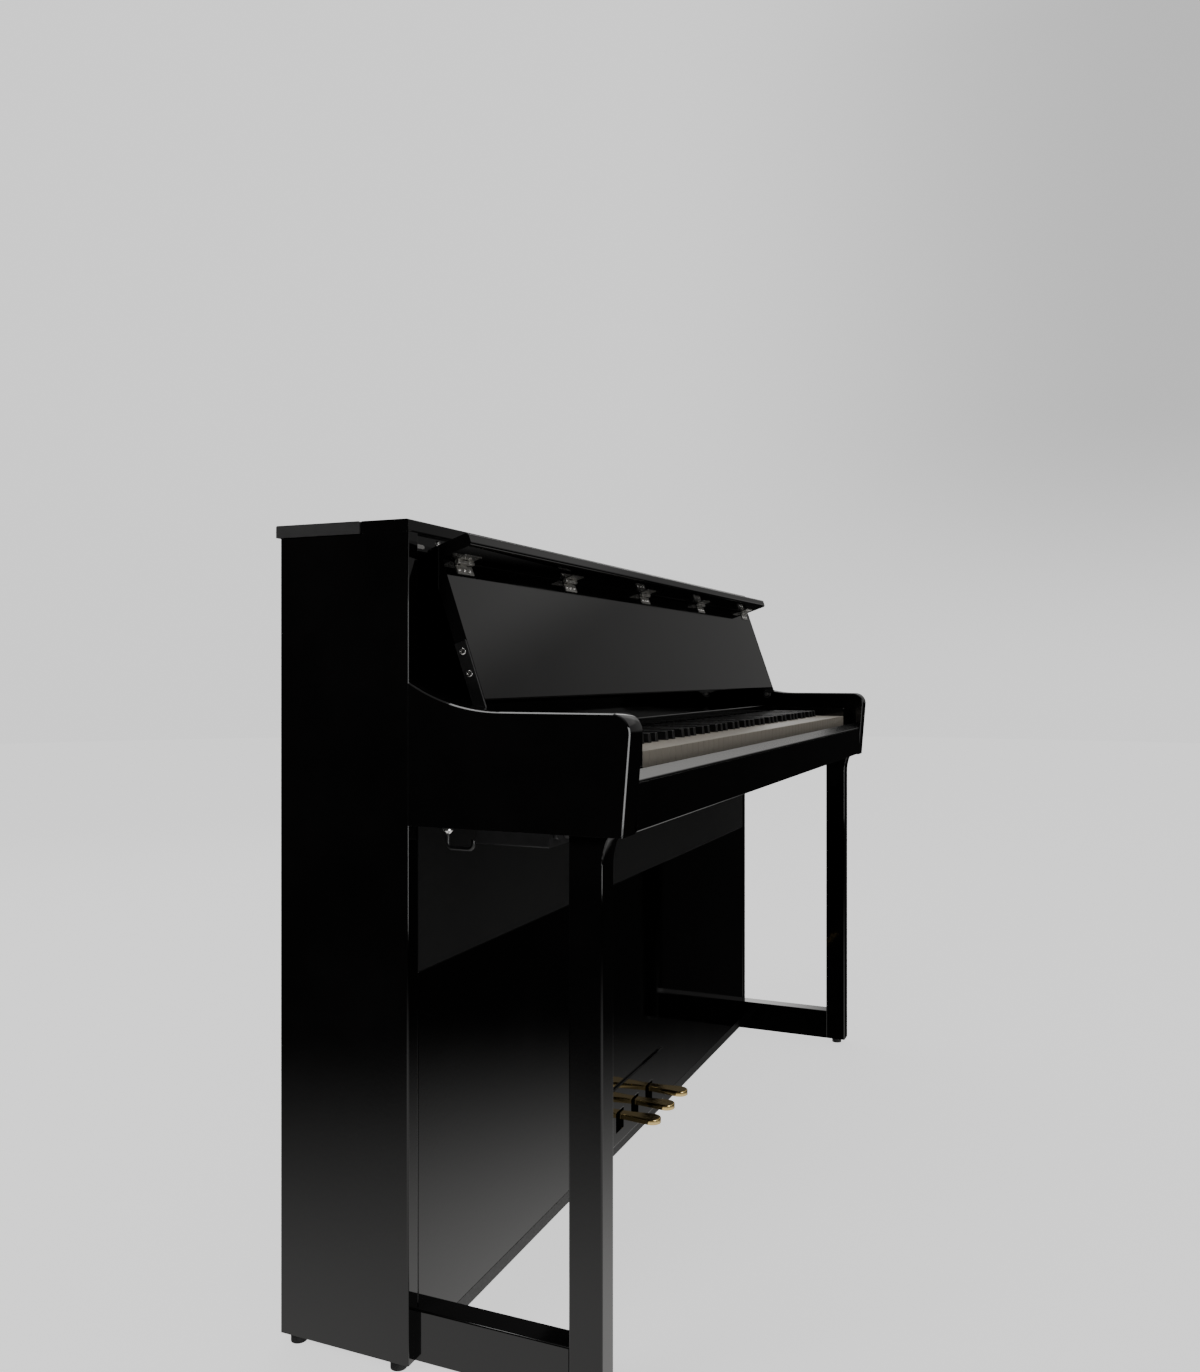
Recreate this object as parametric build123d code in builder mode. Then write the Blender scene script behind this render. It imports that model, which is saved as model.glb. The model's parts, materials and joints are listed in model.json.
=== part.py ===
from build123d import *
import math
import os

# Upright piano, polished black case, in millimetres.
# +X is the bass-to-treble direction, +Y runs from the player to the back, +Z is up.
# The origin is the middle of the overall footprint, on the floor.
# The fallboard is modelled open, leaning back on its bumpers, with its lip square to it.

# ---- overall sizes ----
overall_depth = 467.5
overall_height = 1003.0
cabinet_width = 1450.0
key_top = 730.0              # top of the white keys above the floor

# ---- case boards ----
side_thick = 22.0
case_setback = 271.6         # key slip face to the front plane of the cabinet
lid_thick = 15.0
lid_flap_depth = 65.9
lid_side_overhang = 2.0
lid_rear_overhang = 5.0
seam_gap = 0.6
back_thick = 6.0
back_inset = 3.0
panel_thick = 12.0
panel_recess = 8.4           # upper front panel behind the cabinet's front plane
bottom_thick = 18.0
glide_height = 10.0
glide_radius = 10.0
edge_round = 2.0

# ---- arms ----
arm_thick = 40.0
arm_nose = 7.0               # arm's most forward point before the key slip face
arm_rise = 48.0              # arm top above the white keys
arm_round = 22.0
arm_chamfer = 1.5
arm_scoop_start = 152.0      # where the straight top turns up into the scoop
arm_scoop_radius = 232.0
arm_toe_back = 2.0           # foot of the arm's leaning front edge, behind the key slip face

# ---- keybed, key slip, cheeks ----
keybed_drop = 87.0           # white key top down to the keybed's underside
keybed_thick = 24.0
slip_thick = 17.0
slip_drop = 31.0             # white key top down to the key slip's top
slip_lift = 2.0              # key slip's lower edge above the keybed's underside
trim_front_height = 3.5
trim_back_height = 12.5
trim_flat = 2.0
cheek_rise = 17.0
cheek_depth = 148.0
cheek_gap = 1.0

# ---- keys ----
white_pitch = 23.5
key_gap = 1.0
key_setback = 21.5           # key slip face to the key fronts
head_length = 50.0
key_length = 372.0
key_height = 24.0
key_dip = 10.0
balance_setback = 218.5      # key front to the balance line
black_rise = 12.0
black_length = 93.5
black_front_gap = 1.5        # white key head to a black key's front, room for its swing
black_width = 10.6
black_taper = 5.0
pin_radius = 2.0
pin_slot_width = 4.8
front_pin_setback = 37.0
black_pin_setback = 62.0
front_pin_reach = 6.0
balance_pin_reach = 14.0
front_slot = (9.0, 16.0)     # length and depth
balance_slot = (8.0, 17.0)
rest_gap = 0.5               # play between a key and what it rests on

# ---- key frame ----
felt_thick = 4.0
front_rail = (25.0, 70.0)    # start and end behind the key fronts
balance_rail_width = 12.0
back_rail = (342.0, 368.0)
rail_slat_width = 40.0
rail_slat_height = 10.0
slat_inset = 60.0
board_thick = 1.6
sensor_board_span = (118.0, 150.0)
sensor_size = (6.0, 10.0, 5.0)

# ---- name rail ----
name_rail_setback = 172.0
name_rail_front = 12.0
name_rail_drop = 5.0         # lower edge of the name rail above the white keys
name_rail_shelf = (17.0, 24.0)   # underside and top above the white keys
name_felt_thick = 3.0

# ---- fallboard ----
pivot_setback = 209.0
pivot_rise = 45.0
open_lean = 19.0             # the open fallboard leans back from upright, degrees
fall_side_gap = 5.0
fall_back = 2.0              # pivot to the fallboard's outer face
fall_thick = 17.0
fall_heel = 9.3              # pivot to the fallboard's rear edge
lip_key_gap = 2.0
lip_thick = 16.0
lip_reach = 43.0             # lip beyond the fallboard's inner face
lip_joint_gap = 0.5
plate_thick = 3.0
plate_length = 85.0
plate_ear = 9.0
plate_edge_gap = 0.5         # end plate's long edges inside the fallboard's faces
plate_screw_inset = 12.0
pivot_pin_radius = 4.0
pivot_pin_reach = 9.0
running_gap = 0.06
damper_radius = 7.0
damper_length = 30.0
screw_head = (4.5, 1.2)      # radius and height
plate_screw_spacing = 28.0
bumper_radius = 6.0
bumper_gap = 0.5
bumper_below_top = 24.0
bumper_spread = 0.8          # outer bumpers' place, as a share of half the fallboard

# ---- hinges ----
lip_knuckle_radius = 3.0
lip_pin_radius = 1.5
knuckle_gap = 0.4
leaf_thick = 1.2
lip_hinge_offset = 3.5       # knuckle centre from both boards in the inner corner
lip_hinge_width = 40.0
lip_leaf_reach = 15.0
lip_hinge_count = 5
lip_hinge_inset = 47.0
lid_hinge_width = 60.0
lid_leaf_reach = 22.0
lid_hinge_spread = 560.0
lid_knuckle_radius = 1.8
lid_pin_radius = 0.9
lid_hinge_drop = 2.0         # hinge axis from the flap's top and from its rear edge
flap_heel_round = 4.0        # flap's lower rear edge
lid_pocket = 2.8             # from the hinge axis forward and down, cut out of the flap
pocket_side = 1.0

# ---- knee area ----
apron_height = 176.0
cloth_thick = 2.4
baffle_thick = 15.0
woofer_radius = 60.0
woofer_spread = 430.0
woofer_rim = 8.0
woofer_depth = 58.0
woofer_flange = 4.0          # thickness of the rim
woofer_cone = 14.0           # depth of the cone at its middle
magnet_start = 34.0
magnet_radius = 34.0

# ---- legs and toe rails ----
leg_inset = 15.0
leg_thick = 33.0
leg_setback = 31.6
leg_depth = 41.0
leg_flare = 9.0
leg_flare_height = 40.0
toe_height = 60.0

# ---- pedals ----
pedal_box_width = 300.0
pedal_box_height = 95.0
pedal_box_proud = 4.0
pedal_box_depth = 120.0
pedal_box_wall = 10.0
pedal_spacing = 70.0
pedal_height = 75.0          # pivot line above the floor
pedal_pivot_setback = 68.0   # cabinet front plane to the pedal pivot line
pedal_reach = 145.0
pedal_heel = 24.0
pedal_toe_radius = 15.0
pedal_tail_width = 16.0
pedal_thick = 9.0
pedal_hub_radius = 9.0
pedal_shaft_radius = 4.0
pedal_slot = (34.0, 27.0, 7.0)   # width, depth below and height above the pivot line

# ---- controls and connectors ----
control_size = (120.0, 100.0, 30.0)
control_centre_x = -580.0
control_setback = 130.0
jack_radius = 3.3
jack_depth = 14.0
button_radius = 6.0
button_reach = (4.0, 5.0)    # outside and inside the box face
button_hole_gap = 0.4
knob_radius = 9.0
knob_length = 11.0
knob_shaft_radius = 3.0
knob_shaft_reach = 12.0
face_round = 1.0             # button's and knob's front edges
hook_inset = 20.0            # bass end of the case to the headphone hook
hook_setback = 230.0
hook_wire_radius = 2.5
hook_plate = (9.0, 3.0)      # radius and thickness of the hook's round foot
hook_drop = 26.0
hook_reach = 34.0
hook_tip_drop = 15.0
hook_bend = 7.0
inlet_size = (48.0, 12.0, 28.0)
inlet_height = 120.0
inlet_from_end = 160.0       # treble end of the case to the inlet's middle
inlet_recess = (28.0, 20.0, 9.0)    # width, height and depth
inlet_recess_round = 3.0
inlet_pin = (2.0, 5.0)       # blade width and height
inlet_pin_spacing = 8.0
inlet_pin_setback = 2.0

# ---- places that follow from the sizes ----
half_width = cabinet_width / 2
y_slip = -overall_depth / 2 + arm_nose
y_case = y_slip + case_setback
y_back = overall_depth / 2 - lid_rear_overhang
y_key = y_slip + key_setback
y_balance = y_key + balance_setback
y_pivot = y_slip + pivot_setback
z_pivot = key_top + pivot_rise
z_keybed = key_top - keybed_drop
z_keybed_top = z_keybed + keybed_thick
z_key = key_top - key_height
z_lid = overall_height - lid_thick
z_bottom_top = glide_height + bottom_thick
z_apron = z_keybed - apron_height
arm_inner = half_width - arm_thick
side_inner = half_width - side_thick
fall_half = arm_inner - fall_side_gap
fall_front = fall_back + fall_thick          # pivot to the fallboard's inner face
lip_start = (y_pivot - y_key) + lip_key_gap  # pivot to the lip's inner face
keyboard_half = 26 * white_pitch
key_angle = math.degrees(math.asin(key_dip / balance_setback))
y_flap_edge = y_case + lid_flap_depth
y_flap_axis = y_flap_edge - lid_hinge_drop
z_flap_axis = overall_height - lid_hinge_drop
y_seam = y_flap_edge + seam_gap
y_panel = y_case + panel_recess
lid_hinge_radii = (lid_knuckle_radius, lid_pin_radius)
lip_hinge_radii = (lip_knuckle_radius, lip_pin_radius)
x_leg = half_width - leg_inset - leg_thick / 2
y_pedal = y_case + pedal_pivot_setback
x_hook = hook_inset - half_width


def slab(xs, ys, zs, mode=Mode.ADD):
    """A square-edged board between two limits on each axis, in the open builder."""
    with Locations(((xs[0] + xs[1]) / 2, (ys[0] + ys[1]) / 2, (zs[0] + zs[1]) / 2)):
        Box(xs[1] - xs[0], ys[1] - ys[0], zs[1] - zs[0], mode=mode)


def save(part, name):
    part.label = name
    export_step(part, f"parts/{name}.step")


def profile_plane(x):
    """Side view of the case: the sketch's x is +Y and its y is +Z."""
    return Plane(origin=(x, 0, 0), x_dir=(0, 1, 0), z_dir=(1, 0, 0))


def swing_plane(x):
    """Side view of the open fallboard, at its pivot: the sketch's x runs from the pivot
    along the fallboard and its y points out of the fallboard's inner face."""
    lean = math.radians(open_lean)
    return Plane(origin=(x, y_pivot, z_pivot), x_dir=(0, math.sin(lean), math.cos(lean)), z_dir=(1, 0, 0))


def tangent_point(point, centre, radius):
    """Where a line from a point below a circle touches the circle's front."""
    run, rise = point[0] - centre[0], point[1] - centre[1]
    angle = math.atan2(rise, run) - math.acos(radius / math.hypot(run, rise))
    return (centre[0] + radius * math.cos(angle), centre[1] + radius * math.sin(angle))


# ================= case =================

def side_panel(sign):
    xs = sorted((sign * side_inner, sign * half_width))
    with BuildPart() as side:
        slab(xs, (y_case, y_back), (glide_height, z_lid))
        fillet(side.edges().filter_by(Axis.Z), edge_round)
    return side.part


def arm(sign):
    top = key_top + arm_rise
    scoop_run = case_setback - arm_scoop_start
    lift = arm_scoop_radius - math.sqrt(arm_scoop_radius ** 2 - scoop_run ** 2)
    toe = (y_slip + arm_toe_back, z_keybed)
    touch = tangent_point(toe, (y_slip - arm_nose + arm_round, top - arm_round), arm_round)
    share = (top - z_keybed) / (touch[1] - z_keybed)
    nose = (toe[0] + (touch[0] - toe[0]) * share, top)
    with BuildPart() as piece:
        with BuildSketch(profile_plane(sign * (arm_inner + arm_thick / 2))):
            with BuildLine():
                front = FilletPolyline(toe, nose, (y_slip + arm_scoop_start, top), radius=arm_round)
                curve = TangentArc(front @ 1, (y_case, top + lift), tangent=(1, 0))
                Polyline(curve @ 1, (y_case, z_keybed), toe)
            make_face()
        extrude(amount=arm_thick / 2, both=True)
        rims = piece.edges().filter_by(lambda e: abs(e.center().X * sign - half_width) < 0.01
                                       or abs(e.center().X * sign - arm_inner) < 0.01)
        exposed = rims.filter_by(lambda e: e.center().Y < y_case - 1 and e.center().Z > z_keybed + 1)
        chamfer(exposed, arm_chamfer)
    return piece.part


def lid_rear():
    reach = half_width + lid_side_overhang
    with BuildPart() as lid:
        with BuildSketch(profile_plane(0)):
            with BuildLine():
                y_end = overall_depth / 2
                FilletPolyline((y_seam, z_lid), (y_seam, overall_height), (y_end, overall_height),
                               (y_end, z_lid), radius=edge_round)
                Line((y_end, z_lid), (y_seam, z_lid))
            make_face()
        extrude(amount=reach, both=True)
        for x in lid_hinge_centres():
            half = lid_hinge_width / 2
            slab((x - half, x + half), (y_flap_axis, y_flap_axis + lid_leaf_reach),
                 leaf_band(), Mode.SUBTRACT)
    return lid.part


def lid_flap():
    with BuildPart() as lid:
        with BuildSketch(profile_plane(0)):
            with BuildLine():
                FilletPolyline((y_case, z_lid), (y_flap_edge, z_lid), (y_flap_edge, overall_height),
                               (y_case, overall_height), radius=(flap_heel_round, lid_hinge_drop))
                Line((y_case, overall_height), (y_case, z_lid))
            make_face()
        extrude(amount=half_width, both=True)
        fillet(lid.edges().filter_by(Axis.X).group_by(Axis.Y)[0], edge_round)
        for x in lid_hinge_centres():
            pocket = lid_hinge_width / 2 + pocket_side
            slab((x - pocket, x + pocket), (y_flap_axis - lid_pocket, y_seam),
                 (z_flap_axis - lid_pocket, overall_height), Mode.SUBTRACT)
            half = lid_hinge_width / 2
            slab((x - half, x + half), (y_flap_axis - lid_leaf_reach, y_flap_axis),
                 leaf_band(), Mode.SUBTRACT)
    return lid.part


def board(xs, ys, zs):
    """A plain board with square edges."""
    with BuildPart() as piece:
        slab(xs, ys, zs)
    return piece.part


def keybed():
    """Full width inside the cabinet, and between the arms in front of it."""
    with BuildPart() as bed:
        slab((-arm_inner, arm_inner), (y_slip + slip_thick, y_case), (z_keybed, z_keybed_top))
        slab((-side_inner, side_inner), (y_case, y_back - back_inset - back_thick), (z_keybed, z_keybed_top))
    return bed.part


def keyslip():
    with BuildPart() as slip:
        slab((-arm_inner, arm_inner), (y_slip, y_slip + slip_thick),
             (z_keybed + slip_lift, key_top - slip_drop))
        fillet(slip.edges().filter_by(Axis.X).group_by(Axis.Z)[0].sort_by(Axis.Y)[0], edge_round)
    return slip.part


def keyslip_trim():
    base = key_top - slip_drop
    with BuildPart() as trim:
        with BuildSketch(profile_plane(0)):
            with BuildLine():
                Polyline((y_slip, base), (y_slip, base + trim_front_height),
                         (y_slip + slip_thick - trim_flat, base + trim_back_height),
                         (y_slip + slip_thick, base + trim_back_height),
                         (y_slip + slip_thick, base), close=True)
            make_face()
        extrude(amount=arm_inner, both=True)
    return trim.part


def cheek_block(sign):
    xs = sorted((sign * (keyboard_half + cheek_gap), sign * arm_inner))
    with BuildPart() as cheek:
        slab(xs, (y_key, y_key + cheek_depth), (z_keybed_top, key_top + cheek_rise))
        fillet(cheek.edges().filter_by(Axis.X).group_by(Axis.Z)[-1], edge_round)
    return cheek.part


def name_rail():
    """Rail behind the playing surface with a shelf that covers the key sticks."""
    shelf_low, shelf_high = name_rail_shelf
    y_front = y_slip + name_rail_setback
    with BuildPart() as rail:
        slab((-arm_inner, arm_inner), (y_front, y_case), (key_top + shelf_low, key_top + shelf_high))
        slab((-side_inner, side_inner), (y_case, y_panel), (key_top + shelf_low, key_top + shelf_high))
        slab((-arm_inner, arm_inner), (y_front, y_front + name_rail_front),
             (key_top + name_rail_drop, key_top + shelf_low))
        fillet(rail.edges().filter_by(Axis.X).group_by(Axis.Y)[0].sort_by(Axis.Z)[-1], edge_round)
    return rail.part


def apron_baffle():
    with BuildPart() as baffle:
        slab((-side_inner, side_inner), (y_case + cloth_thick, y_case + cloth_thick + baffle_thick),
             (z_apron, z_keybed))
        with Locations([Location((side * woofer_spread, y_case + cloth_thick, (z_apron + z_keybed) / 2),
                                 (90, 0, 0)) for side in (-1, 1)]):
            Cylinder(woofer_radius, 2 * baffle_thick + 1, mode=Mode.SUBTRACT)
    return baffle.part


def knee_panel():
    """Lower front panel, notched for the pedal box."""
    with BuildPart() as panel:
        slab((-side_inner, side_inner), (y_case, y_case + baffle_thick), (z_bottom_top, z_apron))
        notch = pedal_box_width / 2
        slab((-notch, notch), (y_case, y_case + baffle_thick),
             (z_bottom_top, z_bottom_top + pedal_box_height), Mode.SUBTRACT)
    return panel.part


def leg(sign):
    y0 = y_slip + leg_setback
    with BuildPart() as piece:
        with BuildSketch(profile_plane(sign * x_leg)):
            with BuildLine():
                shoulder = (y0, z_keybed - leg_flare_height)
                flare = TangentArc(shoulder, (y0 - leg_flare, z_keybed), tangent=(0, 1))
                Polyline(flare @ 1, (y0 + leg_depth, z_keybed), (y0 + leg_depth, glide_height),
                         (y0, glide_height), shoulder)
            make_face()
        extrude(amount=leg_thick / 2, both=True)
        fillet(piece.edges().filter_by(Axis.Z), edge_round)
    return piece.part


def toe_rail(sign):
    x = sign * x_leg
    y0 = y_slip + leg_setback + leg_depth
    with BuildPart() as rail:
        slab((x - leg_thick / 2, x + leg_thick / 2), (y0, y_case),
             (glide_height, glide_height + toe_height))
        fillet(rail.edges().filter_by(Axis.Y).group_by(Axis.Z)[-1], edge_round)
    return rail.part


def glides():
    x_side = half_width - side_thick / 2
    spots = [(x_leg, y_slip + leg_setback + leg_depth / 2), (x_side, y_case + 2 * glide_radius),
             (x_side, y_back - 2 * glide_radius)]
    with BuildPart() as group:
        with BuildSketch():
            with Locations([(sign * x, y) for x, y in spots for sign in (-1, 1)]):
                Circle(glide_radius)
        extrude(amount=glide_height)
    return group.part


# ================= hinges =================

def lid_hinge_centres():
    return [-lid_hinge_spread, 0, lid_hinge_spread]


def lip_hinge_centres():
    first = -fall_half + lip_hinge_inset
    step = -2 * first / (lip_hinge_count - 1)
    return [first + i * step for i in range(lip_hinge_count)]


def leaf_band():
    return (z_flap_axis - leaf_thick / 2, z_flap_axis + leaf_thick / 2)


def knuckle_spans(x, width):
    """Lengths of a hinge's knuckles along X: the two outer ones, then the middle one."""
    third = width / 3
    outer = [(x - width / 2, x - third / 2 - knuckle_gap), (x + third / 2 + knuckle_gap, x + width / 2)]
    return outer, (x - third / 2, x + third / 2)


def hinge_half(centres, width, radii, plane_at, leaf, middle):
    """One half of a row of hinges. Each has a leaf and its own knuckles round the axis.
    radii are the knuckle's and the pin's. leaf(start) is the leaf's section from that
    distance off the axis to its tip.
    The middle knuckle carries the pin and the outer knuckles turn on it."""
    knuckle, pin = radii
    clear = knuckle + knuckle_gap
    solids = []
    for x in centres:
        outer, centre = knuckle_spans(x, width)
        spans = [centre] if middle else outer
        with BuildPart() as half:
            for x0, x1 in spans:
                with BuildSketch(plane_at(x0)):
                    Circle(knuckle)
                extrude(amount=x1 - x0)
                with BuildSketch(plane_at(x0)):
                    Polygon(*leaf(0), align=None)
                extrude(amount=x1 - x0)
            with BuildSketch(plane_at(x - width / 2)):
                if middle:
                    Circle(pin)
                else:
                    Circle(pin + running_gap)
            extrude(amount=width, mode=Mode.ADD if middle else Mode.SUBTRACT)
        with BuildPart() as plate:
            with BuildSketch(plane_at(x - width / 2)):
                Polygon(*leaf(clear), align=None)
            extrude(amount=width)
        solids.append(half.part + plate.part)
    return Compound(children=[s for group in solids for s in group.solids()])


def flat_leaf(u0, u1, v0, v1):
    return [(u0, v0), (u1, v0), (u1, v1), (u0, v1)]


def lid_hinge_plane(x):
    return Plane(origin=(x, y_flap_axis, z_flap_axis), x_dir=(0, 1, 0), z_dir=(1, 0, 0))


def lip_hinge_plane(x):
    base = swing_plane(x)
    origin = base.from_local_coords(Vector(lip_start - lip_hinge_offset, fall_front + lip_hinge_offset, 0))
    return Plane(origin=origin, x_dir=base.x_dir, z_dir=base.z_dir)


def lid_hinge_rear():
    half = leaf_thick / 2

    def leaf(start):
        return flat_leaf(start, lid_leaf_reach, -half, half)

    return hinge_half(lid_hinge_centres(), lid_hinge_width, lid_hinge_radii, lid_hinge_plane, leaf, True)


def lid_hinge_front():
    half = leaf_thick / 2

    def leaf(start):
        return flat_leaf(-lid_leaf_reach, -start, -half, half)

    return hinge_half(lid_hinge_centres(), lid_hinge_width, lid_hinge_radii, lid_hinge_plane, leaf, False)


def lip_hinge_board_leaves():
    """Leaves on the fallboard's inner face."""
    face = -lip_hinge_offset

    def leaf(start):
        return flat_leaf(-lip_leaf_reach, -start, face, face + leaf_thick)

    return hinge_half(lip_hinge_centres(), lip_hinge_width, lip_hinge_radii, lip_hinge_plane, leaf, True)


def lip_hinge_lip_leaves():
    """Leaves on the lip's inner face."""
    face = lip_hinge_offset

    def leaf(start):
        return flat_leaf(face - leaf_thick, face, start, lip_leaf_reach)

    return hinge_half(lip_hinge_centres(), lip_hinge_width, lip_hinge_radii, lip_hinge_plane, leaf, False)


# ================= fallboard =================

def fallboard():
    with BuildPart() as panel:
        with BuildSketch(swing_plane(0)):
            Polygon((fall_heel, fall_back), (lip_start - lip_joint_gap, fall_back),
                    (lip_start - lip_joint_gap, fall_front), (fall_heel, fall_front), align=None)
        extrude(amount=fall_half, both=True)
        fillet(panel.edges().filter_by(Axis.X), edge_round)
    return panel.part


def fallboard_lip():
    with BuildPart() as lip:
        with BuildSketch(swing_plane(0)):
            Polygon((lip_start, fall_back), (lip_start + lip_thick, fall_back),
                    (lip_start + lip_thick, fall_front + lip_reach), (lip_start, fall_front + lip_reach),
                    align=None)
        extrude(amount=fall_half, both=True)
        fillet(lip.edges().filter_by(Axis.X), 2 * edge_round)
    return lip.part


def plate_screw_spots():
    return [plate_length - plate_screw_inset - i * plate_screw_spacing for i in range(2)]


def fallboard_end_plates():
    """A steel strap on each end of the fallboard, with the pivot eye at its foot."""
    near, far = fall_back + plate_edge_gap, fall_front - plate_edge_gap
    plates = []
    for sign in (-1, 1):
        start = fall_half if sign > 0 else -fall_half - plate_thick
        with BuildPart() as plate:
            with BuildSketch(swing_plane(start)):
                Circle(plate_ear)
                Polygon((0, near), (plate_length, near), (plate_length, far), (0, far), align=None)
                Circle(pivot_pin_radius + running_gap, mode=Mode.SUBTRACT)
            extrude(amount=plate_thick)
        plates.append(plate.part)
    return Compound(children=[s for p in plates for s in p.solids()])


def fallboard_plate_screws():
    radius, height = screw_head
    screws = []
    for sign in (-1, 1):
        face = sign * (fall_half + plate_thick)
        start = face if sign > 0 else face - height
        for u in plate_screw_spots():
            with BuildPart() as screw:
                with BuildSketch(swing_plane(start)):
                    with Locations((u, (fall_back + fall_front) / 2)):
                        Circle(radius)
                extrude(amount=height)
            screws.append(screw.part)
    return Compound(children=[s for p in screws for s in p.solids()])


def damper_sections():
    """Pin and housing of each rotary damper: radius, and the distances from the middle."""
    pin = (pivot_pin_radius, arm_inner - pivot_pin_reach, arm_inner + edge_round)
    housing = (damper_radius, arm_inner + edge_round, arm_inner + edge_round + damper_length)
    return [pin, housing]


def soft_close_dampers():
    dampers = []
    for sign in (-1, 1):
        with BuildPart() as damper:
            for radius, near, far in damper_sections():
                with BuildSketch(swing_plane(min(sign * near, sign * far))):
                    Circle(radius)
                extrude(amount=far - near)
        dampers.append(damper.part)
    return Compound(children=[s for p in dampers for s in p.solids()])


def pivot_bores(solid, sign):
    """Cut the room for a damper and its pin."""
    with BuildPart() as bored:
        add(solid)
        for radius, near, far in damper_sections():
            with BuildSketch(swing_plane(min(sign * near, sign * far))):
                Circle(radius)
            extrude(amount=far - near, mode=Mode.SUBTRACT)
    return bored.part


def fallboard_bumpers():
    """Rubber buttons on the upper front panel that the open fallboard leans on."""
    u = lip_start - bumper_below_top
    contact = swing_plane(0).from_local_coords(Vector(u, fall_back - bumper_gap, 0))
    length = y_panel - contact.Y
    spots = [-fall_half * bumper_spread, 0, fall_half * bumper_spread]
    with BuildPart() as group:
        with BuildSketch(Plane.XZ.offset(-y_panel)):
            with Locations([(x, contact.Z) for x in spots]):
                Circle(bumper_radius)
        extrude(amount=length - bumper_radius * math.tan(math.radians(open_lean)))
    return group.part


# ================= keyboard =================

NOTES = ["c", "c_sharp", "d", "d_sharp", "e", "f", "f_sharp", "g", "g_sharp", "a", "a_sharp", "b"]
WHITE = {"c": 0, "d": 1, "e": 2, "f": 3, "g": 4, "a": 5, "b": 6}


def key_layout():
    """Note name, tail limits and head limits (None on a black key) of all 88 keys along X."""
    octave = 7 * white_pitch
    black = octave / 12
    low_tail = (3 * white_pitch - 2 * black) / 3
    high_tail = (4 * white_pitch - 3 * black) / 4
    widths = [black if "sharp" in n else low_tail if i < 5 else high_tail for i, n in enumerate(NOTES)]
    keys = []
    for number in range(9, 9 + 88):
        step = number % 12
        note = NOTES[step]
        origin = -keyboard_half - 5 * white_pitch + (number // 12) * octave
        tail = [origin + sum(widths[:step]), origin + sum(widths[:step + 1])]
        head = None
        if note in WHITE:
            left = origin + WHITE[note] * white_pitch
            head = [left, left + white_pitch]
            if number == 9:
                tail[0] = head[0]
            if number == 96:
                tail[1] = head[1]
        keys.append((note, tail, head))
    return keys


def key_group(note):
    """All the keys of one note name, one solid for each octave."""
    keys = [(tail, head) for name, tail, head in key_layout() if name == note]
    play = key_gap / 2
    y_head = y_key + head_length
    y_end = y_key + key_length
    is_black = keys[0][1] is None
    y_start = y_head + (black_front_gap if is_black else 0)
    solids = []
    for tail, head in keys:
        centre = (tail[0] + tail[1]) / 2
        with BuildPart() as key:
            with BuildSketch(Plane.XY.offset(z_key)):
                Polygon((tail[0] + play, y_start), (tail[1] - play, y_start),
                        (tail[1] - play, y_end), (tail[0] + play, y_end), align=None)
                if head:
                    Polygon((head[0] + play, y_key), (head[1] - play, y_key),
                            (head[1] - play, y_head), (head[0] + play, y_head), align=None)
            extrude(amount=key_height)
            if is_black:
                with BuildSketch(Plane.XY.offset(key_top)):
                    with Locations((centre, y_start + black_length / 2)):
                        Rectangle(black_width, black_length)
                extrude(amount=black_rise, taper=black_taper)
            guide_x = centre if is_black else (head[0] + head[1]) / 2
            guide_y = black_pin_setback if is_black else front_pin_setback
            for x, setback, (length, depth) in ((guide_x, guide_y, front_slot),
                                                (centre, balance_setback, balance_slot)):
                y = y_key + setback
                slab((x - pin_slot_width / 2, x + pin_slot_width / 2), (y - length / 2, y + length / 2),
                     (z_key, z_key + depth), Mode.SUBTRACT)
        solids += key.part.solids()
    return Compound(children=solids)


def front_rail_top():
    drop = (balance_setback - front_rail[0]) * math.sin(math.radians(key_angle))
    return z_key - drop - felt_thick - rest_gap


def key_pins():
    """Guide pins at the front rail and balance pins, one of each for every key."""
    fronts, balances = [], []
    for note, tail, head in key_layout():
        centre = (tail[0] + tail[1]) / 2
        balances.append((centre, y_balance))
        if head:
            fronts.append(((head[0] + head[1]) / 2, y_key + front_pin_setback))
        else:
            fronts.append((centre, y_key + black_pin_setback))
    with BuildPart() as pins:
        with BuildSketch(Plane.XY.offset(front_rail_top() + felt_thick)):
            with Locations(fronts):
                Circle(pin_radius)
        extrude(amount=z_key + front_pin_reach - front_rail_top() - felt_thick)
        with BuildSketch(Plane.XY.offset(z_key - rest_gap)):
            with Locations(balances):
                Circle(pin_radius)
        extrude(amount=rest_gap + balance_pin_reach)
    return pins.part


def key_frame():
    half = keyboard_half
    with BuildPart() as frame:
        slab((-half, half), (y_key + front_rail[0], y_key + front_rail[1]), (z_keybed_top, front_rail_top()))
        slab((-half, half), (y_balance - balance_rail_width / 2, y_balance + balance_rail_width / 2),
             (z_keybed_top, z_key - rest_gap))
        slab((-half, half), (y_key + back_rail[0], y_key + back_rail[1]),
             (z_keybed_top, z_key - rest_gap - felt_thick))
        for i in range(4):
            x = (-half + slat_inset) * (1 - 2 * i / 3)
            slab((x - rail_slat_width / 2, x + rail_slat_width / 2),
                 (y_key + front_rail[1], y_key + back_rail[0]),
                 (z_keybed_top, z_keybed_top + rail_slat_height))
    return frame.part


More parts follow.
